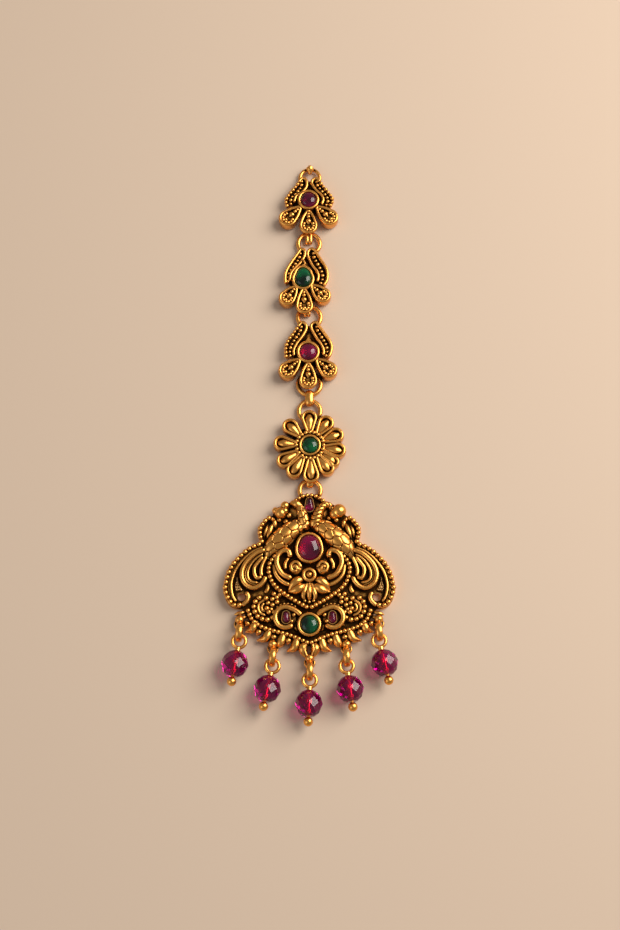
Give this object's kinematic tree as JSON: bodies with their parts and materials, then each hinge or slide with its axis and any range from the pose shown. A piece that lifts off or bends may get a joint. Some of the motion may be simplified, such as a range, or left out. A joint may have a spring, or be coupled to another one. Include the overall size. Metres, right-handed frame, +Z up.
{
  "type": "maang tikka",
  "caption": "Indian forehead jewel lying flat: linked cast plaques, a flower and a fan-shaped pendant with red and green stones and faceted bead drops.",
  "frame": {"origin": "centre of the piece's own outline, on the surface that it lies on", "axes": "+Z up out of the front, +Y along the chain towards the hook ring, +X to the wearer's left seen from the front"},
  "size_m": [0.0378, 0.1306, 0.0059],
  "materials": {
    "antique_gold": "satin, darkened in the recesses",
    "ruby_glass": "polished",
    "emerald_glass": "polished",
    "bead_glass": "polished"
  },
  "bodies": {
    "root": {"top_plaque": "antique_gold", "second_plaque": "antique_gold", "third_plaque": "antique_gold", "flower_plaque": "antique_gold", "pendant": "antique_gold", "first_link": "antique_gold", "second_link": "antique_gold", "bail": "antique_gold", "pendant_link": "antique_gold", "first_drop_ring": "antique_gold", "second_drop_ring": "antique_gold", "third_drop_ring": "antique_gold", "fourth_drop_ring": "antique_gold", "fifth_drop_ring": "antique_gold", "first_drop_pin": "antique_gold", "second_drop_pin": "antique_gold", "third_drop_pin": "antique_gold", "fourth_drop_pin": "antique_gold", "fifth_drop_pin": "antique_gold", "top_ruby": "ruby_glass", "third_ruby": "ruby_glass", "pendant_oval_ruby": "ruby_glass", "pendant_crest_ruby": "ruby_glass", "pendant_right_ruby": "ruby_glass", "pendant_left_ruby": "ruby_glass", "second_emerald": "emerald_glass", "flower_emerald": "emerald_glass", "pendant_emerald": "emerald_glass", "first_drop_bead": "bead_glass", "second_drop_bead": "bead_glass", "third_drop_bead": "bead_glass", "fourth_drop_bead": "bead_glass", "fifth_drop_bead": "bead_glass"}
  },
  "joints": []
}
